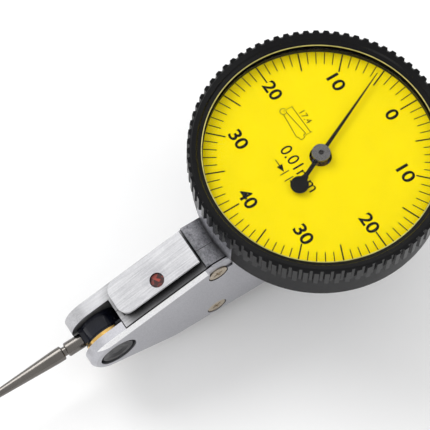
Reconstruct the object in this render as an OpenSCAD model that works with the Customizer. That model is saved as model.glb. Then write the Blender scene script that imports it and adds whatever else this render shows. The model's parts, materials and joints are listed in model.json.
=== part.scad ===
// Lever-type dial test indicator, horizontal pattern.
// Frame: X runs away from the stylus, Y to the left, Z up. The origin lies under the dial
// centre, on the face of the bottom dovetail. Most heights are given from the dial face.

/* [Dial head] */
// Outside diameter over the bezel ribs
bezel_d = 40; // [38:0.5:42]
// Number of ribs round the bezel
rib_count = 80; // [60:2:100]
// Depth of the grooves between the ribs
rib_depth = 0.4; // [0.2:0.05:0.6]
// Height of the bezel rim above the dial face
rim_rise = 2.7; // [2.4:0.1:3]
// Radius of the dial that shows inside the bezel
dial_r = 17.6; // [17:0.1:17.8]
// Outside radius of the fixed case below the bezel
case_r = 19.4; // [19:0.1:19.6]
// Depth of the case floor below the dial face
case_drop = 6.6; // [6.4:0.1:6.8]

/* [Body] */
// Slope of the front of the body, in degrees
front_slope = 18.5; // [16:0.5:20]
// Height of the body from its underside to its head face
body_h = 18.6; // [18:0.1:19]
// Y of the far face
far_y = 3.75; // [3.6:0.05:4]
// Y of the near face of the side plate
near_y = -4.5; // [-4.8:0.05:-4.3]
// Thickness of the side plate along the body
plate_t = 0.65; // [0.5:0.05:0.8]
// X of the rear face
rear_x = 14; // [12:0.5:15]
// Radius of the two ears at the pivot
ear_r = 4.4; // [4.2:0.1:4.6]

/* [Dovetails] */
// Width over the dovetail face
rail_w = 5.8; // [5.6:0.05:6]
// Height of each dovetail
rail_h = 2.4; // [2.2:0.1:2.6]

/* [Stylus] */
// Distance from the pivot to the centre of the contact ball
stylus_reach = 20.9; // [18:0.1:24]
// Diameter of the contact ball
ball_d = 2; // [1:0.5:3]
// Downward tilt of the stylus at rest, in degrees
stylus_tilt = 6.2; // [0:0.1:12]
// Largest diameter of the stylus shank
shank_d = 2.3; // [2:0.1:2.6]

/* [Train] */
// Teeth on a full circle of the sector
sector_teeth = 240; // [240:1:240]
// Teeth on the intermediate pinion
pinion_teeth = 12; // [12:1:12]
// Teeth on the intermediate gear
gear_teeth = 82; // [82:1:82]
// Teeth on the centre pinion
centre_teeth = 20; // [20:1:20]
// Rest angle of the pointer from the zero mark, in degrees
pointer_rest = 24.3; // [0:0.1:30]

/* [Hidden] */
$fn = 96;

// Heights below are measured from the dial face
head_top = -6.8;
dial_z = body_h + rail_h - head_top;
body_bottom = head_top - body_h;
split_y = -0.6;
gap = 0.15;
split_gap = 0.08;
near_frame_y = near_y + plate_t + 0.22;
slope_c = 0.18;
bend_x = -22.45;
kink_x = -28.6;

// Body pivot and the centre of the rounded ear
pivot_x = -38.7;
pivot_z = -18;
normal = [-sin(front_slope), cos(front_slope)];
along = [cos(front_slope), sin(front_slope)];
ear_drop = slope_c - (pivot_x * normal[0] + pivot_z * normal[1]) - ear_r;
ear_c = [pivot_x, pivot_z] + ear_drop * normal;
top_touch = ear_c + ear_r * normal;
kink = [kink_x, body_bottom];
to_ear = ear_c - kink;
ear_dist = norm(to_ear);
under_slope = atan2(to_ear[1], -to_ear[0]) - asin(ear_r / ear_dist);
under_touch = ear_c - ear_r * [sin(under_slope), cos(under_slope)];

// Fork slot
slot_far = 1.6;
slot_near = -2.45;
slot_back = -38.6;
chamfer = 0.65;

// Gear train
arbor_a = [-29.7, -1.35];
module_c = 0.125;
arbor_b = [-module_c * (gear_teeth + centre_teeth) / 2, 0];
ab = arbor_b - arbor_a;
ab_dist = norm(ab);
ab_angle = atan2(ab[1], ab[0]);
module_a = 2 * ab_dist / (sector_teeth + pinion_teeth);
sector_z = -12.9;
gear_z = -5.2;
crank_z = -14;
pin_at = [pivot_x + 4.6, pivot_z + 4];
arbor_r = 0.4;
jewel_r = 0.6;
cap_at = [-30.5, -1.3];

// Side plate and fixings
plate_screw_at = [[-20.8, -10.1], [-20.8, -23.4]];
frame_screw_at = [[-26, -22.5], [9, -20]];
case_screw_at = [[-15.3, 2.3], [11.5, 1.3]];
pillar_at = [[-13.4, 0], [4.8, 0]];
screw_head_r = 1.55;
screw_shank_r = 0.7;
upstand_y = 4.7;
rail_sink = 0.1;
cavity_y = 3.0;

// Dial head
bezel_r = bezel_d / 2;
bezel_bottom = -1.2;
seat_r = 18.25;
lip_r = 17.85;
lip_z = 1.7;
crystal_top = 2.15;
crystal_under = 1.6;
dial_t = 0.35;

module lift() {
  translate([0, 0, dial_z]) children();
}

// Extrudes an X-Z outline between two Y values
module slab(y0, y1) {
  translate([0, y1, dial_z]) rotate([90, 0, 0]) linear_extrude(y1 - y0) children();
}

// Places children in the sloped frame of the front body
module sloped() {
  lift() rotate([0, -front_slope, 0]) children();
}

module rod(at, z0, z1, r) {
  lift() translate([at[0], at[1], z0]) cylinder(h = z1 - z0, r = r);
}

module cross_rod(at, y0, y1, r) {
  translate([at[0], y1, dial_z + at[1]]) rotate([90, 0, 0]) cylinder(h = y1 - y0, r = r);
}

module ring(r0, r1, z0, z1) {
  lift() translate([0, 0, z0]) difference() {
    cylinder(h = z1 - z0, r = r1);
    translate([0, 0, -1]) cylinder(h = z1 - z0 + 2, r = r0);
  }
}

// Outline of a gear: one flat-flanked tooth per pitch, from tooth a to tooth b
function tooth(i, n, m, shift) = let(p = 360 / n, r = n * m / 2, c = i * p + shift)
  [for (k = [[-0.32, -1.15], [-0.22, 0], [-0.1, 0.9], [0.1, 0.9], [0.22, 0], [0.32, -1.15]])
    (r + k[1] * m) * [cos(c + k[0] * p), sin(c + k[0] * p)]];
function teeth(a, b, n, m, shift) = [for (i = [a:b]) each tooth(i, n, m, shift)];

module gear_2d(n, m, shift) {
  polygon(teeth(0, n - 1, n, m, shift));
}

// ---- Frame ----

module body_outline() {
  union() {
    polygon([[rear_x, body_bottom], [rear_x, head_top], [bend_x, head_top],
      [bend_x, (slope_c + bend_x * along[1]) / along[0]], top_touch, ear_c, under_touch, kink]);
    translate(ear_c) circle(r = ear_r);
  }
}

// Everything in front of the fork's back wall
module fork_front() {
  rotate(front_slope) translate([slot_back - 20, -40]) square([20, 80]);
}

module cavity_outline() {
  polygon([[-33.7, -18.5], [-33.7, -12.6], [-27, -12.6], [-25.5, -11], [2, -11], [2, -15],
    [-24, -15], [-24, -18.5]]);
}

module window() {
  slab(-1.9, 1.5) translate([-38, -20]) square([5, 6.8]);
}

module train_holes() {
  rod(arbor_a, -13, -11.85, jewel_r);
  rod(arbor_a, -19.3, -18, jewel_r);
  rod(arbor_b, -15.8, -14, jewel_r);
  rod(arbor_b, -12, 1, 1);
  for (p = case_screw_at) rod(p, head_top - 3, 1, screw_shank_r);
}

// Wall that stands up behind the block, between two Y values
module upstand(y0, y1) {
  intersection() {
    ring(18.25, case_r, head_top, -1.35);
    translate([-30, y0, 0]) cube([20, y1 - y0, 60]);
  }
}

// Section of a dovetail: full width at its face, narrow at its root
module rail_2d(sink) {
  w = rail_w / 2;
  land = 0.5;
  neck = w - (rail_h - land) * tan(30);
  polygon([[-w, rail_h], [w, rail_h], [w, rail_h - land], [neck, 0], [neck, -sink],
    [-neck, -sink], [-neck, 0], [-w, rail_h - land]]);
}

module front_rail() {
  corner = 1.8;
  x0 = -37.8;
  x1 = -23.7;
  intersection() {
    sloped() translate([x1, 0, slope_c]) rotate([90, 0, -90]) linear_extrude(x1 - x0) rail_2d(rail_sink);
    sloped() translate([0, 0, slope_c - 1]) linear_extrude(6) union() {
      translate([x0 + corner, -rail_w / 2]) square([x1 - x0 - corner, rail_w]);
      translate([x0, corner - rail_w / 2]) square([x1 - x0, rail_w - 2 * corner]);
      for (s = [-1, 1]) translate([x0 + corner, s * (rail_w / 2 - corner)]) circle(r = corner);
    }
  }
}

module bottom_rail() {
  translate([8, 0, rail_h]) rotate([-90, 0, 90]) linear_extrude(30) rail_2d(0);
}

module rear_rail() {
  translate([rear_x, 0, dial_z + body_bottom + 1]) rotate([0, 0, -90]) linear_extrude(15) rail_2d(0);
}

module ruby_bore() {
  sloped() translate([cap_at[0], cap_at[1], 1.6]) cylinder(h = 3, r = 1.15);
}

module main_frame() {
  color("silver") difference() {
    union() {
      difference() {
        slab(split_y, far_y) body_outline();
        slab(split_y - 1, slot_far) fork_front();
      }
      upstand(split_y, upstand_y);
      front_rail();
      bottom_rail();
      rear_rail();
    }
    slab(split_y - 1, cavity_y) cavity_outline();
    window();
    train_holes();
    ruby_bore();
    cross_rod([pivot_x, pivot_z], slot_far - 1, 5, 3.1);
    for (p = frame_screw_at) {
      cross_rod(p, -3, 5, screw_shank_r);
      cross_rod(p, far_y - 0.9, 5, screw_head_r + 0.15);
    }
    cross_rod(plate_screw_at[0], -3, 0.5, screw_shank_r);
    cross_rod(plate_screw_at[1], -3, 0.5, screw_shank_r);
  }
}

module near_frame() {
  color("silver") difference() {
    union() {
      difference() {
        slab(near_frame_y, split_y - split_gap) body_outline();
        slab(near_frame_y - 1, split_y + 1) fork_front();
      }
      upstand(-upstand_y, split_y - split_gap);
    }
    slab(-cavity_y, split_y + 1) cavity_outline();
    window();
    train_holes();
    sloped() translate([-37.9, -2, slope_c - rail_sink - 0.05]) cube([14.3, 2, 1]);
    for (p = frame_screw_at) cross_rod(p, -3, 1, screw_shank_r);
    for (p = plate_screw_at) cross_rod(p, -6, 1, screw_shank_r);
  }
}

// Cutter that bevels the near ear round its top and front, fading out where the underside begins
module ear_bevel() {
  under = under_slope + front_slope;
  front = 0.8;
  start = chamfer * (cos(under) - front * sin(under)) / (1 + cos(under) - sin(under));
  translate([ear_c[0], near_y, dial_z + ear_c[1]]) rotate([-90, 0, 0]) rotate(-front_slope)
    intersection() {
      translate([front * chamfer - start, chamfer - start, 0]) rotate_extrude()
        polygon([[ear_r - start, 0], [ear_r + 2, -1], [ear_r + 2, start + 2]]);
      translate([0, 0, -2]) linear_extrude(6)
        polygon([[0.01, 0], [0.01, -12], [-12, -12], [-12, 12 / tan(under)]]);
    }
}

module edge_bevel() {
  run = 20;
  sloped() translate([slot_back - 4.1, near_y, slope_c]) rotate([90, 0, 90]) linear_extrude(run)
    polygon([[-1, -chamfer - 1], [-1, 1], [chamfer + 1, 1]]);
}

module side_plate() {
  color("silver") difference() {
    union() {
      slab(near_y, near_y + plate_t) body_outline();
      intersection() {
        slab(near_y, slot_near) body_outline();
        slab(near_y - 1, 0) difference() {
          fork_front();
          rotate(front_slope) translate([slot_back - gap, -40]) square([1, 80]);
        }
      }
    }
    ear_bevel();
    edge_bevel();
    cross_rod([pivot_x, pivot_z], near_y - 1, 0, 3.1);
    for (p = plate_screw_at) {
      cross_rod(p, near_y - 1, 0, screw_shank_r + 0.1);
      cross_rod(p, near_y - 1, near_y + 0.4, screw_head_r + 0.15);
    }
    slab(near_y - 1, near_y + 0.3) translate([-22.4, plate_screw_at[0][1] + 0.6]) square([4.1, 4]);
  }
}

// Countersunk cross-recess screw, head at the outer end
module cross_screw(at, y_face, dir, len) {
  translate([at[0], y_face, dial_z + at[1]]) rotate([-90 * dir, 0, 0]) difference() {
    union() {
      translate([0, 0, -len]) cylinder(h = len, r = screw_shank_r - 0.03);
      translate([0, 0, -0.3]) cylinder(h = 0.3, r = screw_head_r);
    }
    for (a = [0, 90]) rotate(a + 25) translate([-0.8, -0.18, -0.2]) cube([1.6, 0.36, 1]);
  }
}

module side_plate_screws() {
  color("tan") for (p = plate_screw_at) cross_screw(p, near_y + 0.1, -1, 3.2);
}

module frame_screws() {
  color("tan") for (p = frame_screw_at) cross_screw(p, far_y - 0.55, 1, 4.5);
}

// Pivot screw seen from its outer face
module pivot_screw(y_face, dir, len) {
  translate([pivot_x, y_face, dial_z + pivot_z]) rotate([-90 * dir, 0, 0]) difference() {
    union() {
      translate([0, 0, -len]) cylinder(h = len - 0.4, r = 3.07);
      translate([0, 0, -0.5]) cylinder(h = 0.5, r = 2.6);
    }
    translate([0, 0, -0.25]) cylinder(h = 1, r1 = 1, r2 = 4.2);
    translate([0, 0, -len - 1]) cylinder(h = 1.9, r = 0.83);
  }
}

module pivot_screw_near() {
  color("dimgray") pivot_screw(near_y + 0.2, -1, -near_y - 0.2 + slot_near);
}

module pivot_screw_far() {
  color("dimgray") pivot_screw(far_y - 0.2, 1, far_y - 0.2 - slot_far);
}

module ruby_cap_jewel() {
  color("firebrick") sloped() translate([cap_at[0], cap_at[1], 1.6]) cylinder(h = 0.6, r = 1.13);
}

module jewel(at, z0, z1) {
  difference() {
    rod(at, z0, z1, jewel_r - 0.01);
    rod(at, z0 - 1, z1 + 1, 0.17);
  }
}

module jewel_bearings() {
  color("firebrick") {
    jewel(arbor_a, -12.6, -11.9);
    jewel(arbor_a, -19.2, -18.5);
    jewel(arbor_b, -15.7, -15);
    jewel(arbor_b, -3.6, -2.9);
    jewel([0, 0], -6.5, -5.8);
    jewel([0, 0], -3.6, -2.9);
  }
}

// ---- Case and movement ----

module case() {
  color([0.09, 0.09, 0.09]) difference() {
    union() {
      rod([0, 0], -case_drop, -1.3, case_r);
      rod([0, 0], -case_drop, -0.75, seat_r - 0.1);
    }
    rod([0, 0], -5.8, 1, 17.3);
    difference() {
      translate([-30, -upstand_y - 0.1, 0]) cube([20, 2 * upstand_y + 0.2, 60]);
      rod([0, 0], -20, 10, 18.2);
    }
    rod([0, 0], -6.5, 1, jewel_r);
    rod(arbor_b, -8, 1, 1.2);
    for (p = case_screw_at) rod(p, -8, 1, screw_shank_r + 0.1);
    ring(17.9, 19, -1.12, -0.88);
  }
}

module case_screws() {
  color("tan") for (p = case_screw_at) {
    rod(p, -5.78, -5.1, 1.3);
    rod(p, -9.6, -5.6, screw_shank_r - 0.03);
  }
}

module movement_bridge() {
  color("goldenrod") difference() {
    lift() translate([0, 0, -3.6]) linear_extrude(0.7) union() {
      for (p = pillar_at) translate(p) circle(r = 1.8);
      translate([pillar_at[0][0], -1.8]) square([pillar_at[1][0] - pillar_at[0][0], 3.6]);
    }
    rod([0, 0], -4, 0, jewel_r);
    rod(arbor_b, -4, 0, jewel_r);
    for (p = pillar_at) rod(p, -4, 0, 0.65);
    rod([-3.4, 0], -4, 0, 0.3);
  }
}

module bridge_pillars() {
  color("goldenrod") for (p = pillar_at) difference() {
    rod(p, -5.8, -3.6, 1.3);
    rod(p, -5.3, -3, 0.6);
  }
}

module bridge_screws() {
  color("silver") for (p = pillar_at) difference() {
    union() {
      rod(p, -5.2, -2.9, 0.57);
      rod(p, -2.9, -2.4, 1.1);
    }
    lift() translate([p[0] - 1.5, p[1] - 0.15, -2.6]) cube([3, 0.3, 1]);
  }
}

// Flat spiral from the collet to the stud
function spiral(a, side) = let(r = 0.85 + a / 360 * 0.58 + side * 0.05) r * [cos(a), sin(a)];

module hairspring() {
  turns_end = 1620;
  color("steelblue") lift() translate([0, 0, -2.35]) linear_extrude(0.25)
    polygon(concat([for (a = [0:20:turns_end]) spiral(a, 1)],
      [for (a = [turns_end:-20:0]) spiral(a, -1)]));
}

module hairspring_stud() {
  color("goldenrod") union() {
    rod([-3.4, 0], -3.6, -2.9, 0.29);
    difference() {
      rod([-3.55, 0], -2.9, -1.9, 0.4);
      ring(3.3, 3.62, -2.4, -2.05);
    }
  }
}

module bezel_snap_ring() {
  color("gray") ring(17.95, seat_r + 0.1, -1.1, -0.9);
}

// ---- Bezel and dial ----

// Rib outline: a crest and a groove in each pitch
module rib_2d() {
  p = 360 / rib_count;
  polygon([for (i = [0:rib_count - 1])
    each [for (k = [[-0.5, 1], [-0.36, 1], [-0.22, 0], [0, 0], [0.22, 0], [0.36, 1]])
      (bezel_r - k[1] * rib_depth) * [cos((i + k[0]) * p), sin((i + k[0]) * p)]]]);
}

module bezel() {
  core = bezel_r - rib_depth - 0.02;
  color([0.08, 0.08, 0.08]) union() {
    lift() rotate_extrude() polygon([[seat_r, bezel_bottom], [core, bezel_bottom],
      [core, rim_rise - 0.25], [core - 0.25, rim_rise], [18.65, rim_rise - 0.34],
      [18.45, rim_rise - 0.6], [lip_r + 0.15, lip_z + 0.1],
      [lip_r, lip_z + 0.02], [lip_r, lip_z - 0.05], [seat_r, lip_z - 0.05],
      [seat_r, -0.86], [seat_r + 0.15, -0.86], [seat_r + 0.15, -1.14], [seat_r, -1.14]]);
    lift() translate([0, 0, bezel_bottom]) linear_extrude(rim_rise - 0.22 - bezel_bottom) difference() {
      rib_2d();
      circle(r = core - 0.1);
    }
  }
}

module crystal() {
  color([0.9, 0.95, 1, 0.3]) lift() rotate_extrude() polygon([[0, crystal_under],
    [17.3, crystal_under], [17.5, 0.95], [18.22, 0.95], [18.22, lip_z - 0.07],
    [lip_r - 0.03, lip_z - 0.07], [lip_r - 0.1, lip_z], [17.2, crystal_top], [0, crystal_top]]);
}

module spacer_ring() {
  color([0.12, 0.12, 0.07]) ring(dial_r, 18.22, 0, 0.93);
}

module dial_plate() {
  color("gold") ring(1.7, 18.22, -dial_t, 0);
}

module dial_retaining_ring() {
  color("gray") ring(17.3, 18.22, -dial_t - 0.25, -dial_t);
}

// ---- Train ----

module centre_pinion() {
  color("silver") union() {
    rod([0, 0], -6.4, -5.6, 0.14);
    rod([0, 0], -5.6, -3.7, arbor_r);
    rod([0, 0], -3.8, -2.8, 0.14);
    rod([0, 0], -2.85, 1.3, arbor_r);
    lift() translate([0, 0, -5.5]) linear_extrude(0.9) gear_2d(centre_teeth, module_c, 180 + 9);
  }
}

module pointer() {
  tip = 16.3;
  tail = 6;
  color([0.05, 0.05, 0.05]) difference() {
    lift() rotate(pointer_rest) translate([0, 0, 0.65]) linear_extrude(0.15) union() {
      polygon([[-tail, -0.32], [0, -0.32], [tip, -0.05], [tip, 0.05], [0, 0.32], [-tail, 0.32]]);
      circle(r = 1.1);
      translate([-tail, 0]) circle(r = 1.38);
    }
    rod([0, 0], 0, 2, 0.61);
  }
}

module pointer_hub() {
  color("gray") difference() {
    union() {
      rod([0, 0], 0.8, 1.35, 1.4);
      rod([0, 0], 0.3, 0.9, 0.6);
      rod([0, 0], 0.3, 0.65, 0.9);
    }
    rod([0, 0], 0, 2, arbor_r + 0.01);
  }
}

module hairspring_collet() {
  color("goldenrod") difference() {
    rod([0, 0], -2.5, -1.9, 0.75);
    rod([0, 0], -3, 0, arbor_r + 0.01);
  }
}

module intermediate_pinion() {
  color("silver") union() {
    rod(arbor_b, -15.6, -14.8, 0.14);
    rod(arbor_b, -14.9, -3.8, arbor_r);
    rod(arbor_b, -3.9, -3, 0.14);
    lift() translate([arbor_b[0], arbor_b[1], sector_z - 0.4]) linear_extrude(0.8)
      gear_2d(pinion_teeth, module_a, ab_angle + 180 + 180 / pinion_teeth);
  }
}

module intermediate_gear() {
  arm_r = 4.2;
  color("goldenrod") difference() {
    lift() translate([arbor_b[0], arbor_b[1], gear_z]) linear_extrude(0.3) difference() {
      gear_2d(gear_teeth, module_c, 0);
      for (a = [45:90:315]) rotate(a) translate([2.6, 0]) circle(r = 1.25);
    }
    rod(arbor_b, -8, 0, arbor_r + 0.01);
  }
}

module sector_arbor() {
  color("silver") union() {
    rod(arbor_a, -19.1, -18.3, 0.14);
    rod(arbor_a, -18.4, -12.7, arbor_r);
    rod(arbor_a, -12.8, -12, 0.14);
  }
}

module sector_gear() {
  pitch_r = sector_teeth * module_a / 2;
  rim = 1.1;
  first = -1;
  last = 4;
  p = 360 / sector_teeth;
  mid = (first + last) / 2 * p;
  lo = (first - 0.45) * p;
  hi = (last + 0.45) * p;
  color("goldenrod") difference() {
    lift() translate([arbor_a[0], arbor_a[1], sector_z - 0.2]) linear_extrude(0.35) rotate(ab_angle)
      union() {
        polygon(concat([(pitch_r - rim) * [cos(lo), sin(lo)]],
          teeth(first, last, sector_teeth, module_a, 0), [(pitch_r - rim) * [cos(hi), sin(hi)]]));
        rotate(mid) polygon([[0, -0.8], [pitch_r - rim + 0.2, -0.45], [pitch_r - rim + 0.2, 0.45],
          [0, 0.8]]);
        circle(r = 1.1);
      }
    rod(arbor_a, -18, -8, arbor_r + 0.01);
  }
}

module crank() {
  reach = [-4.05, 2];
  color("silver") difference() {
    union() {
      rod(arbor_a, crank_z - 0.3, crank_z + 0.3, 0.95);
      lift() translate([arbor_a[0], arbor_a[1], crank_z - 0.25]) linear_extrude(0.5)
        rotate(atan2(reach[1], reach[0])) translate([0, -0.35]) square([norm(reach), 0.7]);
      lift() translate([arbor_a[0] + reach[0], arbor_a[1] + reach[1] - 0.35, crank_z - 0.7])
        cube([0.5, 0.7, 1.4]);
    }
    rod(arbor_a, -18, -8, arbor_r + 0.01);
    lift() translate([arbor_a[0] + reach[0] - 2, arbor_a[1] - 2, crank_z - 2]) cube([2, 8, 4]);
  }
}

// ---- Rocker and stylus ----

hub_y0 = -1.45;
hub_y1 = -1.05;

module rocker_lever() {
  color([0.2, 0.2, 0.22]) difference() {
    slab(hub_y0, hub_y1) union() {
      translate([pivot_x, pivot_z]) circle(r = 3.2);
      polygon([[pivot_x, pivot_z - 1.2], [pin_at[0] + 0.5, pin_at[1] - 0.6],
        [pin_at[0] + 0.5, pin_at[1] + 0.5], [pin_at[0] - 0.5, pin_at[1] + 0.5],
        [pivot_x - 0.5, pivot_z + 1.6]]);
    }
    cross_rod([pivot_x, pivot_z], -3, 0, 0.81);
    cross_rod(pin_at, -3, 0, 0.3);
  }
}

module lever_axle() {
  color("silver") cross_rod([pivot_x, pivot_z], -3.1, 2.3, 0.8);
}

module friction_washer() {
  color("goldenrod") difference() {
    cross_rod([pivot_x, pivot_z], -2.4, -1.5, 3.7);
    cross_rod([pivot_x, pivot_z], -4, 0, 0.81);
  }
}

module drive_pin() {
  color("silver") cross_rod(pin_at, hub_y0, 1.05, 0.3);
}

module stylus_axis() {
  translate([pivot_x, 0.25, dial_z + pivot_z]) rotate([0, -90 - stylus_tilt, 0]) children();
}

module stylus_holder() {
  color([0.06, 0.06, 0.07]) difference() {
    union() {
      cross_rod([pivot_x, pivot_z], -1, 1.5, 3.3);
      stylus_axis() translate([-1.5, -1.25, 0]) cube([3, 2.5, 3.6]);
    }
    cross_rod([pivot_x, pivot_z], -4, 4, 0.83);
    stylus_axis() translate([0, 0, 1.6]) cylinder(h = 3, r = 0.7);
  }
}

module stylus() {
  r = shank_d / 2;
  color("silver") stylus_axis() rotate_extrude() polygon([[0, 1.7], [0.67, 1.7], [0.67, 3.6],
    [r - 0.1, 3.6], [r, 3.7], [r, 6.4], [r - 0.15, 6.55], [0.75, 6.6], [0.75, 7.1],
    [r - 0.15, 7.15], [r, 7.3], [r, 8.4], [0.62, stylus_reach - 1.3], [0.55, stylus_reach - 0.8],
    [0, stylus_reach - 0.8]]);
}

module contact_ball() {
  color("gainsboro") stylus_axis() difference() {
    translate([0, 0, stylus_reach]) sphere(r = ball_d / 2);
    cylinder(h = stylus_reach - 0.8, r = 2);
  }
}

main_frame();
near_frame();
side_plate();
side_plate_screws();
frame_screws();
pivot_screw_near();
pivot_screw_far();
ruby_cap_jewel();
jewel_bearings();
case();
case_screws();
movement_bridge();
bridge_pillars();
bridge_screws();
hairspring();
hairspring_stud();
bezel_snap_ring();
bezel();
crystal();
spacer_ring();
dial_plate();
dial_retaining_ring();
centre_pinion();
pointer();
pointer_hub();
hairspring_collet();
intermediate_pinion();
intermediate_gear();
sector_arbor();
sector_gear();
crank();
rocker_lever();
lever_axle();
friction_washer();
drive_pin();
stylus_holder();
stylus();
contact_ball();
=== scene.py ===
import json
import math

import bmesh
import bpy
from mathutils import Matrix, Vector


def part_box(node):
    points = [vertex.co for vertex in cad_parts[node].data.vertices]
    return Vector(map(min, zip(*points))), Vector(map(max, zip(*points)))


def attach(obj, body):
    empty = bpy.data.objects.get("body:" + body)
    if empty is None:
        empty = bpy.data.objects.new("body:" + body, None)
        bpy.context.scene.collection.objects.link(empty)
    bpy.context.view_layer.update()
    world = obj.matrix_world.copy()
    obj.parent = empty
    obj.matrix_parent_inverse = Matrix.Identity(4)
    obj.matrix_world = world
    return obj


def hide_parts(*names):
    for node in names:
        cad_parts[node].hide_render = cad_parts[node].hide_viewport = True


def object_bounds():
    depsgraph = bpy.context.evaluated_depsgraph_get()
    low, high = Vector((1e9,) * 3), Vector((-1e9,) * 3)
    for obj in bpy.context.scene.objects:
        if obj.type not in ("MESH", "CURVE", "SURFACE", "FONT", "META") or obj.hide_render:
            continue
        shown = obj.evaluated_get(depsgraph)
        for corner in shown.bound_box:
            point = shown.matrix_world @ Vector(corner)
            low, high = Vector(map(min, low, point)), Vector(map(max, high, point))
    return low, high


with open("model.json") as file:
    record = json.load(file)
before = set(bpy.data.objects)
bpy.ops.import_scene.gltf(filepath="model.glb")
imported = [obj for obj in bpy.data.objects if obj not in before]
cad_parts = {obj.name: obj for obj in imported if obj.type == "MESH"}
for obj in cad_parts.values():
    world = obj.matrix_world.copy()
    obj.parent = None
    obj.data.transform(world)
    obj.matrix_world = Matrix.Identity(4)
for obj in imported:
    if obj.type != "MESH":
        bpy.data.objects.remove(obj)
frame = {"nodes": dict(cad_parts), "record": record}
cad_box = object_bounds()
nodes = frame["nodes"]
slot_of = {s["node"]: s["material_slot"] for s in frame["record"]["subparts"]}

MM = 0.001
DIAL_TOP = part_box("dial_plate")[1][2]
joints = frame["record"]["behaviour"]["joints"]
PIVOT = next(j for j in joints if j["name"] == "lever_rock")["pos_m"]
# Slopes of the body's front face and of the stylus at rest
SLOPE = math.radians(18.5)
STYLUS_TILT = math.radians(6.2)
# Outer end of the graduation marks, in mm
DIAL_R = 17.57
# Where the slanted front begins and ends, in mm along the slope from below the dial centre
SLOPE_ORIGIN = DIAL_TOP * math.sin(SLOPE)
BRUSHED_FROM = SLOPE_ORIGIN - 23.6 * MM
# Where the painted highlight along the side plate's bevel begins, along the slope
PLATE_HIGHLIGHT_FROM = SLOPE_ORIGIN - 24.0 * MM
# Lower edge and depth of the side plate's bevel, which bound its painted highlight, and the
# height of the blasted block
PLATE_HIGHLIGHT_Z = DIAL_TOP * math.cos(SLOPE) - 0.47 * MM
PLATE_HIGHLIGHT_Y = -3.84 * MM
BLOCK_FLOOR = DIAL_TOP - 7.3 * MM


# ---- Materials ----


def new_material(name):
    m = bpy.data.materials.new(name)
    m.use_nodes = True
    tree = m.node_tree
    return m, tree, tree.nodes["Principled BSDF"]


def link(tree, source, socket):
    tree.links.new(source, socket)


def coords(tree, scale=(1, 1, 1), rotation=(0, 0, 0)):
    """Object coordinates, which are metres in the CAD frame."""
    co = tree.nodes.new("ShaderNodeTexCoord")
    mp = tree.nodes.new("ShaderNodeMapping")
    mp.inputs["Scale"].default_value = scale
    mp.inputs["Rotation"].default_value = rotation
    link(tree, co.outputs["Object"], mp.inputs["Vector"])
    return mp.outputs["Vector"]


def noise(tree, vector, scale, detail=4.0, rough=0.6):
    n = tree.nodes.new("ShaderNodeTexNoise")
    n.inputs["Scale"].default_value = scale
    n.inputs["Detail"].default_value = detail
    n.inputs["Roughness"].default_value = rough
    link(tree, vector, n.inputs["Vector"])
    return n.outputs["Fac"]


def ramp(tree, fac, low, high, a, b):
    """Maps fac from low..high to the colours or values a..b."""
    r = tree.nodes.new("ShaderNodeValToRGB")
    r.color_ramp.elements[0].position = low
    r.color_ramp.elements[1].position = high
    for e, c in zip(r.color_ramp.elements, (a, b)):
        e.color = (*c, 1) if isinstance(c, (tuple, list)) else (c, c, c, 1)
    link(tree, fac, r.inputs["Fac"])
    return r.outputs["Color"]


def maths(tree, op, a, b=None):
    n = tree.nodes.new("ShaderNodeMath")
    n.operation = op
    for i, v in enumerate((a, b)):
        if v is None:
            continue
        if isinstance(v, (int, float)):
            n.inputs[i].default_value = v
        else:
            link(tree, v, n.inputs[i])
    return n.outputs["Value"]


def mix_rgb(tree, fac, a, b, mode="MIX"):
    n = tree.nodes.new("ShaderNodeMix")
    n.data_type = "RGBA"
    n.blend_type = mode
    for key, v in (("Factor", fac), ("A", a), ("B", b)):
        sock = [s for s in n.inputs if s.name == key and s.enabled][0]
        if isinstance(v, (int, float)):
            sock.default_value = v
        elif isinstance(v, (tuple, list)):
            sock.default_value = (*v, 1)
        else:
            link(tree, v, sock)
    return [s for s in n.outputs if s.enabled][0]


def bump(tree, height, distance, strength=1.0):
    n = tree.nodes.new("ShaderNodeBump")
    n.inputs["Strength"].default_value = strength
    n.inputs["Distance"].default_value = distance
    link(tree, height, n.inputs["Height"])
    return n.outputs["Normal"]


def finish(name, color, metallic, rough, grain=9000, stretch=(1, 1, 1), rotation=(0, 0, 0),
           depth=0.004, strength=0.35, vary=0.12, spread=0.08, coat=0.0, specular=0.5):
    """A surface with fine grain, slow changes of tone and rubbed gloss."""
    m, tree, bsdf = new_material(name)
    fine = noise(tree, coords(tree, stretch, rotation), grain, 3.0)
    slow = noise(tree, coords(tree), 140, 3.0)
    speck = noise(tree, coords(tree), 2200, 2.0)
    tone = mix_rgb(tree, 0.5, fine, slow)
    dark = tuple(c * (1 - vary) for c in color)
    light = tuple(min(1.0, c * (1 + vary)) for c in color)
    link(tree, ramp(tree, tone, 0.32, 0.68, dark, light), bsdf.inputs["Base Color"])
    gloss = mix_rgb(tree, 0.5, speck, slow)
    low, high = max(0.02, rough - spread), min(1.0, rough + spread)
    link(tree, ramp(tree, gloss, 0.35, 0.65, low, high), bsdf.inputs["Roughness"])
    link(tree, bump(tree, fine, depth * MM, strength), bsdf.inputs["Normal"])
    bsdf.inputs["Metallic"].default_value = metallic
    bsdf.inputs["Coat Weight"].default_value = coat
    bsdf.inputs["Coat Roughness"].default_value = 0.08
    bsdf.inputs["Specular IOR Level"].default_value = specular
    return m


def painted_crevice_shade(tree, color, reach_mm, floor_tone, low=0.25, high=0.85):
    """Painted shade: darkens color by ambient occlusion inside narrow gaps and undercuts, where
    shade falls.
    """
    ao = tree.nodes.new("ShaderNodeAmbientOcclusion")
    ao.samples = 8
    ao.inputs["Distance"].default_value = reach_mm * MM
    shade = ramp(tree, ao.outputs["AO"], low, high, floor_tone, 1.0)
    return mix_rgb(tree, 1.0, color, shade, "MULTIPLY")


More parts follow.
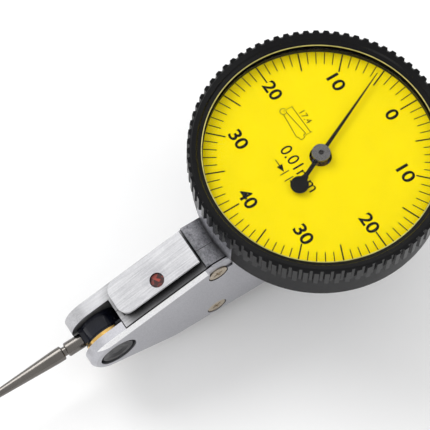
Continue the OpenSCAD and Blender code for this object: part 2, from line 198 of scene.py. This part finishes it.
def body_material():
    """Satin metal, brushed except on the block and wall under the dial, which are blasted, with
    painted shade darkening its gaps and undercuts.
    """
    m, tree, bsdf = new_material("satin_body_metal")
    flat = coords(tree)
    blasted = noise(tree, flat, 3600, 4.0, 0.75)
    coarse = noise(tree, flat, 1300, 2.0)
    slow = noise(tree, flat, 150, 2.0)
    tilted = coords(tree, (1, 1, 1), (0, SLOPE, 0))
    split = tree.nodes.new("ShaderNodeSeparateXYZ")
    link(tree, tilted, split.inputs[0])
    stretched = tree.nodes.new("ShaderNodeMapping")
    stretched.inputs["Scale"].default_value = (0.03, 1, 1)
    link(tree, tilted, stretched.inputs["Vector"])
    brushed = noise(tree, stretched.outputs["Vector"], 6000, 4.0, 0.7)
    upright = tree.nodes.new("ShaderNodeSeparateXYZ")
    link(tree, flat, upright.inputs[0])
    ahead = maths(tree, "LESS_THAN", split.outputs["X"], BRUSHED_FROM)
    low_down = maths(tree, "LESS_THAN", upright.outputs["Z"], BLOCK_FLOOR)
    is_brushed = maths(tree, "MAXIMUM", ahead, low_down)
    pitted = mix_rgb(tree, 0.35, blasted, coarse)
    worn = mix_rgb(tree, 0.3, brushed, blasted)
    front_tone = ramp(tree, mix_rgb(tree, 0.25, worn, slow), 0.32, 0.68,
                      (0.30, 0.30, 0.32), (0.66, 0.66, 0.67))
    rear_tone = ramp(tree, mix_rgb(tree, 0.2, pitted, slow), 0.36, 0.62,
                     (0.12, 0.12, 0.14), (0.50, 0.50, 0.53))
    tone = mix_rgb(tree, is_brushed, rear_tone, front_tone)
    # Painted shade: ambient occlusion darkens the colour in gaps and under the dovetail's
    # undercut flanks
    link(tree, painted_crevice_shade(tree, tone, 2.6, 0.01, 0.45, 0.97), bsdf.inputs["Base Color"])
    link(tree, ramp(tree, mix_rgb(tree, 0.5, coarse, slow), 0.35, 0.65, 0.30, 0.44),
         bsdf.inputs["Roughness"])
    height = mix_rgb(tree, is_brushed, pitted, mix_rgb(tree, 0.75, worn, (0.5, 0.5, 0.5)))
    link(tree, bump(tree, height, 0.05 * MM, 0.7), bsdf.inputs["Normal"])
    bsdf.inputs["Metallic"].default_value = 0.75
    return m


def plate_material():
    """Satin side plate with a fine even grain, a painted highlight along its bevelled edge and
    painted shade in its gaps.
    """
    m, tree, bsdf = new_material("satin_side_plate")
    fine = noise(tree, coords(tree), 5200, 3.0, 0.6)
    slow = noise(tree, coords(tree), 110, 2.0)
    split = tree.nodes.new("ShaderNodeSeparateXYZ")
    link(tree, coords(tree, (1, 1, 1), (0, SLOPE, 0)), split.inputs[0])
    high = maths(tree, "GREATER_THAN", split.outputs["Z"], PLATE_HIGHLIGHT_Z)
    outer = maths(tree, "LESS_THAN", split.outputs["Y"], PLATE_HIGHLIGHT_Y)
    ahead = maths(tree, "LESS_THAN", split.outputs["X"], PLATE_HIGHLIGHT_FROM)
    # Painted highlight: the bevelled edge is given a near-white tone where the light catches it
    highlight_band = maths(tree, "MULTIPLY", maths(tree, "MULTIPLY", high, outer), ahead)
    face = ramp(tree, mix_rgb(tree, 0.3, fine, slow), 0.32, 0.68, (0.40, 0.40, 0.43),
                (0.54, 0.54, 0.57))
    edge = ramp(tree, fine, 0.32, 0.68, (0.80, 0.80, 0.82), (0.98, 0.98, 0.98))
    tone = mix_rgb(tree, highlight_band, face, edge)
    # Painted shade in the gaps beside the plate
    link(tree, painted_crevice_shade(tree, tone, 0.8, 0.06), bsdf.inputs["Base Color"])
    link(tree, ramp(tree, slow, 0.35, 0.65, 0.32, 0.42), bsdf.inputs["Roughness"])
    link(tree, bump(tree, fine, 0.012 * MM, 0.5), bsdf.inputs["Normal"])
    bsdf.inputs["Metallic"].default_value = 0.8
    return m


def turned(name, color, metallic, rough, axis, centre, pitch=0.09, depth=0.003):
    """A turned face or shaft: fine rings about the axis through centre."""
    m, tree, bsdf = new_material(name)
    co = tree.nodes.new("ShaderNodeTexCoord")
    off = tree.nodes.new("ShaderNodeVectorMath")
    off.operation = "SUBTRACT"
    off.inputs[1].default_value = centre
    link(tree, co.outputs["Object"], off.inputs[0])
    split = tree.nodes.new("ShaderNodeSeparateXYZ")
    link(tree, off.outputs[0], split.inputs[0])
    a, b = [split.outputs[k] for k in "XYZ" if k != axis]
    radius = maths(tree, "SQRT", maths(tree, "ADD", maths(tree, "MULTIPLY", a, a),
                                       maths(tree, "MULTIPLY", b, b)))
    where = tree.nodes.new("ShaderNodeCombineXYZ")
    link(tree, maths(tree, "ADD", radius, split.outputs[axis]), where.inputs[0])
    rings = noise(tree, where.outputs[0], 1 / (pitch * MM), 3.0)
    slow = noise(tree, coords(tree), 900, 2.0)
    dark = tuple(c * 0.82 for c in color)
    light = tuple(min(1, c * 1.12) for c in color)
    link(tree, ramp(tree, mix_rgb(tree, 0.4, rings, slow), 0.3, 0.7, dark, light),
         bsdf.inputs["Base Color"])
    link(tree, ramp(tree, slow, 0.35, 0.65, max(0.03, rough - 0.07), rough + 0.07),
         bsdf.inputs["Roughness"])
    link(tree, bump(tree, rings, depth * MM, 0.5), bsdf.inputs["Normal"])
    bsdf.inputs["Metallic"].default_value = metallic
    return m


def ruby_material():
    """Dark ruby with painted highlights on brighter facet cells under the polish, and painted
    shade in its recess.
    """
    m, tree, bsdf = new_material("ruby_polish")
    cells = tree.nodes.new("ShaderNodeTexVoronoi")
    cells.inputs["Scale"].default_value = 1500
    link(tree, coords(tree), cells.inputs["Vector"])
    split = tree.nodes.new("ShaderNodeSeparateColor")
    link(tree, cells.outputs["Color"], split.inputs[0])
    # Painted highlights: brighter red cells stand in for light caught by the facets
    tone = ramp(tree, split.outputs[0], 0.35, 0.9, (0.045, 0.006, 0.005), (0.50, 0.06, 0.035))
    # Painted shade in the recess around the jewel
    link(tree, painted_crevice_shade(tree, tone, 1.2, 0.15), bsdf.inputs["Base Color"])
    link(tree, ramp(tree, cells.outputs["Distance"], 0.1, 0.8, 0.10, 0.28),
         bsdf.inputs["Roughness"])
    bsdf.inputs["Coat Weight"].default_value = 0.3
    return m


def crystal_material():
    """Clear crystal with a faint gloss."""
    m, tree, bsdf = new_material("clear_crystal_polish")
    clear = tree.nodes.new("ShaderNodeBsdfTransparent")
    gloss = tree.nodes.new("ShaderNodeBsdfGlossy")
    mixer = tree.nodes.new("ShaderNodeMixShader")
    faint = noise(tree, coords(tree), 260, 3.0)
    link(tree, ramp(tree, faint, 0.3, 0.7, 0.03, 0.07), gloss.inputs["Roughness"])
    link(tree, ramp(tree, faint, 0.3, 0.7, 0.965, 0.985), clear.inputs["Color"])
    mixer.inputs[0].default_value = 0.006
    link(tree, clear.outputs[0], mixer.inputs[1])
    link(tree, gloss.outputs[0], mixer.inputs[2])
    link(tree, mixer.outputs[0], tree.nodes["Material Output"].inputs["Surface"])
    tree.nodes.remove(bsdf)
    return m


SHADERS = {
    "satin_body": body_material(),
    "side_plate": plate_material(),
    "nickel_screw": finish("nickel_screw_head", (0.55, 0.47, 0.36), 0.9, 0.34, 6000, vary=0.2),
    "dark_steel": turned("dark_turned_steel", (0.012, 0.012, 0.014), 0.2, 0.36, "Y", PIVOT,
                         0.12),
    "centre_pinion": finish("dark_arbor_steel", (0.030, 0.028, 0.026), 0.6, 0.30, 8000,
                            vary=0.3),
    "ruby": ruby_material(),
    "black_case": finish("black_case_anodised", (0.005, 0.005, 0.006), 0.0, 0.34, 12000,
                         strength=0.15, vary=0.3, spread=0.04, specular=0.09),
    "black_bezel": finish("black_bezel_anodised", (0.004, 0.004, 0.0045), 0.0, 0.22, 12000,
                          strength=0.15, vary=0.35, spread=0.04, specular=0.14),
    "brass": turned("turned_brass", (0.78, 0.50, 0.16), 1.0, 0.22, "Y", PIVOT, 0.10),
    "blue_steel": finish("blued_spring", (0.05, 0.10, 0.42), 1.0, 0.25, 5000),
    "polished_steel": finish("polished_steel_parts", (0.62, 0.62, 0.63), 1.0, 0.16, 8000),
    "clear_crystal": crystal_material(),
    "dial_yellow": finish("dial_print_yellow", (0.96, 0.76, 0.0), 0.0, 0.55, 4000, depth=0.002,
                          strength=0.15, vary=0.012, specular=0.04),
    "black_paint": finish("matt_black_paint", (0.006, 0.006, 0.006), 0.0, 0.5, 6000, vary=0.3,
                          specular=0.1),
    "hub_grey": turned("turned_grey_hub", (0.18, 0.175, 0.17), 0.85, 0.30, "Z", (0, 0, 0), 0.12),
    "black_drum": finish("gloss_black_drum", (0.006, 0.007, 0.013), 0.1, 0.12, 9000,
                         strength=0.12, vary=0.3, coat=0.12, specular=0.3),
    "stylus_steel": finish("turned_stylus_steel", (0.15, 0.14, 0.13), 1.0, 0.24, 2500,
                           (7, 1, 1), (0, -STYLUS_TILT, 0), vary=0.16, strength=0.15),
    "ball_steel": finish("hard_ball_polish", (0.70, 0.70, 0.70), 1.0, 0.10, 5000, depth=0.001),
}

# Width of the softened edges, in mm
BEVEL = {
    "main_frame": 0.16, "near_frame": 0.12, "side_plate": 0.10, "bezel": 0.03, "case": 0.10,
    "side_plate_screws": 0.05, "frame_screws": 0.05, "pivot_screw_near": 0.10,
    "pivot_screw_far": 0.10, "stylus_holder": 0.12, "friction_washer": 0.08,
    "pointer_hub": 0.10, "ruby_cap_jewel": 0.06, "spacer_ring": 0.03, "rocker_lever": 0.05,
}
CREASE = math.radians(32)


def dress(obj, material):
    obj.data.materials.clear()
    obj.data.materials.append(material)


def soften(obj, width_mm, segments=3):
    mod = obj.modifiers.new("edges", "BEVEL")
    mod.width = width_mm * MM
    mod.segments = segments
    mod.limit_method = "ANGLE"
    mod.angle_limit = CREASE
    mod.use_clamp_overlap = True


def smooth(obj):
    """Round faces shade smoothly and flat ones stay flat."""
    for p in obj.data.polygons:
        p.use_smooth = True
    split = obj.modifiers.new("creases", "EDGE_SPLIT")
    split.split_angle = CREASE
    even = obj.modifiers.new("even", "WEIGHTED_NORMAL")
    even.keep_sharp = True


for name, obj in nodes.items():
    dress(obj, SHADERS.get(name, SHADERS[slot_of[name]]))
    if name in BEVEL:
        soften(obj, BEVEL[name])
    smooth(obj)


# ---- Dial print ----


def add_piece(name, data, body, slot_name, material=None):
    """A new piece that rides a body, in its slot's material unless another is given."""
    obj = bpy.data.objects.new(name, data)
    bpy.context.scene.collection.objects.link(obj)
    dress(obj, material or SHADERS[slot_name])
    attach(obj, body)
    return obj


def mesh_of(name, verts, faces):
    data = bpy.data.meshes.new(name)
    data.from_pydata(verts, [], faces)
    data.update()
    return data


def above_dial(verts):
    """Points in mm above the dial centre as points in metres in the CAD frame."""
    return [Vector(v) * MM + Vector((0, 0, DIAL_TOP)) for v in verts]


# Thickness of the dial print, in mm
INK_T = 0.012


class Ink:
    """Collects thin raised bars of one print layer."""

    def __init__(self):
        self.verts = []
        self.faces = []

    def slab(self, outline):
        n = len(outline)
        base = len(self.verts)
        for z in (0.0, INK_T):
            self.verts += [(x, y, z) for x, y in outline]
        self.faces.append([base + n + i for i in range(n)])
        self.faces.append([base + i for i in reversed(range(n))])
        for i in range(n):
            j = (i + 1) % n
            self.faces.append([base + i, base + j, base + n + j, base + n + i])

    def line(self, a, b, width):
        a, b = Vector(a), Vector(b)
        side = (b - a).normalized().orthogonal() * width / 2
        self.slab([tuple(p) for p in (a - side, b - side, b + side, a + side)])

    def path(self, points, width):
        for a, b in zip(points, points[1:]):
            self.line(a, b, width)

    def build(self, name):
        data = mesh_of(name, above_dial(self.verts), self.faces)
        obj = add_piece(name, data, "bezel_group", "black_paint")
        bm = bmesh.new()
        bm.from_mesh(obj.data)
        bmesh.ops.recalc_face_normals(bm, faces=bm.faces)
        bm.to_mesh(obj.data)
        bm.free()
        return obj


def polar(r, deg):
    return (r * math.cos(math.radians(deg)), r * math.sin(math.radians(deg)))


DIVISIONS = 80
LONG_EVERY = 5
# Inner radius and width of the long and the short graduation marks, in mm
LONG_TICK = (14.52, 0.22)
SHORT_TICK = (15.54, 0.15)

ticks = Ink()
for i in range(DIVISIONS):
    angle = i * 360 / DIVISIONS
    inner_r, tick_w = SHORT_TICK if i % LONG_EVERY else LONG_TICK
    ticks.line(polar(inner_r, angle), polar(DIAL_R, angle), tick_w)
ticks.build("dial_ticks")

# Two short lines with an arrow pointing in from each side: the value of one division
ARROW_X = -6.05
symbol = Ink()
for s in (1, -1):
    symbol.line((-6.85, 0.58 * s), (-5.3, 0.58 * s), 0.16)
    symbol.line((ARROW_X, 3.15 * s), (ARROW_X, 1.9 * s), 0.14)
    symbol.slab([(ARROW_X, 0.75 * s), (ARROW_X + 0.5, 2.0 * s), (ARROW_X - 0.5, 2.0 * s)][::s])
symbol.build("dial_division_symbol")

# A small drawing of the stylus with its length line
OUTLINE_W = 0.11
THIN_W = 0.07
BALL_X, BALL_Y, BALL_R = -0.62, 9.18, 0.5
SHOULDER_Y = 4.1
picture = Ink()
ball = [(BALL_X + BALL_R * math.cos(t), BALL_Y + BALL_R * math.sin(t))
        for t in [math.radians(20 + k * 16) for k in range(21)]]
picture.path(ball, OUTLINE_W)
picture.path([(-0.28, 8.78), (0.22, 4.35)], OUTLINE_W)
picture.path([(-0.86, 8.72), (-1.3, 4.55)], OUTLINE_W)
picture.path([(0.22, 4.35), (-0.2, 4.28), (-0.24, 3.9), (-0.62, 3.78), (-1.0, 3.84),
              (-1.02, 4.3), (-1.3, 4.55)], OUTLINE_W)
picture.path([(BALL_X, BALL_Y), (1.15, BALL_Y)], THIN_W)
picture.path([(-0.05, SHOULDER_Y), (1.25, SHOULDER_Y)], THIN_W)
picture.path([(0.95, BALL_Y), (0.95, SHOULDER_Y)], OUTLINE_W)
picture.build("dial_stylus_picture")


def text_mesh(name, text, height, width, centre, bold=0.0):
    """Flat raised text, upright towards 12 o'clock, as high and as wide as asked, in mm."""
    curve = bpy.data.curves.new(name, "FONT")
    curve.body = text
    curve.size = 1.0
    curve.offset = bold
    curve.extrude = 0.0
    curve.align_x = "CENTER"
    curve.resolution_u = 6
    temp = bpy.data.objects.new(name + "_temp", curve)
    bpy.context.scene.collection.objects.link(temp)
    depsgraph = bpy.context.evaluated_depsgraph_get()
    data = bpy.data.meshes.new_from_object(temp.evaluated_get(depsgraph))
    data.name = name
    bpy.data.objects.remove(temp)
    xs = [v.co.x for v in data.vertices]
    ys = [v.co.y for v in data.vertices]
    sx = width / (max(xs) - min(xs))
    sy = height / (max(ys) - min(ys))
    mx, my = (max(xs) + min(xs)) / 2, (max(ys) + min(ys)) / 2
    for v in data.vertices:
        right, up = (v.co.x - mx) * sx, (v.co.y - my) * sy
        v.co = Vector(((centre[0] + up) * MM, (centre[1] - right) * MM, DIAL_TOP))
    bm = bmesh.new()
    bm.from_mesh(data)
    bmesh.ops.remove_doubles(bm, verts=bm.verts, dist=1e-7)
    grown = bmesh.ops.extrude_face_region(bm, geom=bm.faces[:])
    lifted = [g for g in grown["geom"] if isinstance(g, bmesh.types.BMVert)]
    bmesh.ops.translate(bm, verts=lifted, vec=(0, 0, INK_T * MM))
    bmesh.ops.recalc_face_normals(bm, faces=bm.faces)
    bm.to_mesh(data)
    bm.free()
    return add_piece(name, data, "bezel_group", "black_paint")


# Each numeral and the radius of its centre in mm, clockwise from 12 o'clock
NUMERALS = [("0", 13.0), ("10", 13.0), ("20", 12.9), ("30", 13.0), ("40", 13.0), ("30", 12.5),
            ("20", 13.0), ("10", 12.7)]
NUMERAL_H = 2.1
NUMERAL_W = {"0": 1.55, "10": 2.75, "20": 3.15, "30": 3.15, "40": 3.15}
for i, (text, radius) in enumerate(NUMERALS):
    where = polar(radius, -i * 360 / len(NUMERALS))
    text_mesh(f"dial_numeral_{i}", text, NUMERAL_H, NUMERAL_W[text], where, 0.022)
text_mesh("dial_unit_text", "0.01mm", 1.9, 8.3, (-3.75, 0.0), 0.004)
text_mesh("dial_length_text", "17.4", 0.95, 2.2, (1.75, 6.6), 0.0)


# ---- Painted reflection of the dial in the crystal edge ----


def ring_piece(name, profile, body, slot_name, material, steps=256):
    """A closed ring turned about the dial axis from an (r, z) outline in mm above the dial."""
    n = len(profile)
    verts, faces = [], []
    for k in range(steps):
        t = 2 * math.pi * k / steps
        verts += [(r * math.cos(t), r * math.sin(t), z) for r, z in profile]
    for k in range(steps):
        q = (k + 1) % steps
        for i in range(n):
            j = (i + 1) % n
            faces.append([k * n + i, q * n + i, q * n + j, k * n + j])
    data = mesh_of(name, above_dial(verts), faces)
    obj = add_piece(name, data, body, slot_name, material)
    for p in obj.data.polygons:
        p.use_smooth = True
    return obj


# Painted reflection: a thin yellowish ring stands in for the dial reflected in the crystal's edge
dial_reflection_paint = finish("crystal_edge_tint", (0.62, 0.56, 0.18), 0.0, 0.25, 900, vary=0.35)
ring_piece("crystal_edge", [(17.72, 1.74), (17.86, 1.70), (17.90, 1.76), (17.80, 1.86)],
           "bezel_group", "clear_crystal", dial_reflection_paint)


# ---- Stylus ----

# Outline as (radius, distance from the pivot) in mm, from inside the drum to inside the ball
SHANK_R = 1.15
STYLUS_PROFILE = [(0.0, 1.7), (0.67, 1.7), (0.67, 3.6), (SHANK_R - 0.1, 3.6), (SHANK_R, 3.7),
                  (SHANK_R, 6.4), (SHANK_R - 0.15, 6.55), (0.75, 6.6), (0.75, 7.1),
                  (SHANK_R - 0.15, 7.15), (SHANK_R, 7.3), (SHANK_R, 8.4), (0.62, 19.6),
                  (0.55, 20.1), (0.0, 20.1)]


def lathe(name, profile, origin, axis, body, slot_name, steps=128):
    """A turned solid from an (r, distance along the axis) outline in mm with both ends at r 0."""
    axis = axis.normalized()
    side = axis.orthogonal().normalized()
    up = axis.cross(side)
    inner = profile[1:-1]
    n = len(inner)
    verts = [origin + axis * profile[0][1] * MM, origin + axis * profile[-1][1] * MM]
    for k in range(steps):
        t = 2 * math.pi * k / steps
        out = side * math.cos(t) + up * math.sin(t)
        verts += [origin + (out * r + axis * d) * MM for r, d in inner]
    faces = []
    for k in range(steps):
        a, b = 2 + k * n, 2 + (k + 1) % steps * n
        faces.append([0, b, a])
        faces.append([1, a + n - 1, b + n - 1])
        faces += [[a + i, b + i, b + i + 1, a + i + 1] for i in range(n - 1)]
    obj = add_piece(name, mesh_of(name, verts, faces), body, slot_name)
    smooth(obj)
    return obj


# The stylus lies a little off the middle plane of the body
STYLUS_Y = 0.25
stylus_axis = Vector((-math.cos(STYLUS_TILT), 0, -math.sin(STYLUS_TILT)))
stylus_origin = Vector(PIVOT) + Vector((0, STYLUS_Y * MM, 0))
stylus = lathe("stylus_turned", STYLUS_PROFILE, stylus_origin, stylus_axis, "stylus_group",
               "stylus_steel")
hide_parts("stylus")


# ---- Stage, light and camera ----

FLOOR = 1.5
FLOOR_GAP = 0.05 * MM
floor_data = mesh_of("floor", [(-FLOOR, -FLOOR, 0), (FLOOR, -FLOOR, 0), (FLOOR, FLOOR, 0),
                               (-FLOOR, FLOOR, 0)], [(0, 1, 2, 3)])
floor = bpy.data.objects.new("floor", floor_data)
bpy.context.scene.collection.objects.link(floor)
floor.location.z = cad_box[0][2] - FLOOR_GAP
dress(floor, finish("pale_floor", (0.95, 0.95, 0.95), 0.0, 0.8, 60, vary=0.01))

# The camera of the reference view: its directions, its place and its lens in mm
RIGHT = Vector((0.840794, -0.541087, 0.017036))
DOWN = Vector((-0.490241, -0.774378, -0.400002))
AHEAD = Vector((0.229628, 0.327967, -0.916356))
EYE = Vector((-85.305 * MM, -95.027 * MM, 266.548 * MM + DIAL_TOP))
camera_data = bpy.data.cameras.new("camera")
camera_data.sensor_width = 36.0
camera_data.lens = 165.46
camera_data.clip_start = 0.01
camera = bpy.data.objects.new("camera", camera_data)
bpy.context.scene.collection.objects.link(camera)
turn = Matrix((RIGHT, -DOWN, -AHEAD)).transposed()
camera.matrix_world = Matrix.Translation(EYE) @ turn.to_4x4()
bpy.context.scene.camera = camera

TARGET = Vector((-0.012, 0, 0.022))


def area_light(name, right, up, back, size, power):
    """An area light placed by the camera's own directions from the object."""
    data = bpy.data.lights.new(name, "AREA")
    data.shape = "DISK"
    data.size = size
    data.energy = power
    obj = bpy.data.objects.new(name, data)
    obj.location = TARGET + RIGHT * right - DOWN * up - AHEAD * back
    aim = TARGET - obj.location
    obj.rotation_euler = aim.to_track_quat("-Z", "Y").to_euler()
    bpy.context.scene.collection.objects.link(obj)


area_light("key", -0.45, 0.55, 0.35, 0.50, 3.2)
area_light("fill", 0.6, 0.1, 0.45, 0.6, 0.5)
area_light("low", -0.5, -0.5, 0.3, 0.40, 0.6)

world = bpy.data.worlds.new("world")
bpy.context.scene.world = world
world.use_nodes = True
world.node_tree.nodes["Background"].inputs["Color"].default_value = (1, 1, 1, 1)
world.node_tree.nodes["Background"].inputs["Strength"].default_value = 0.85
bpy.context.scene.view_settings.view_transform = "Standard"
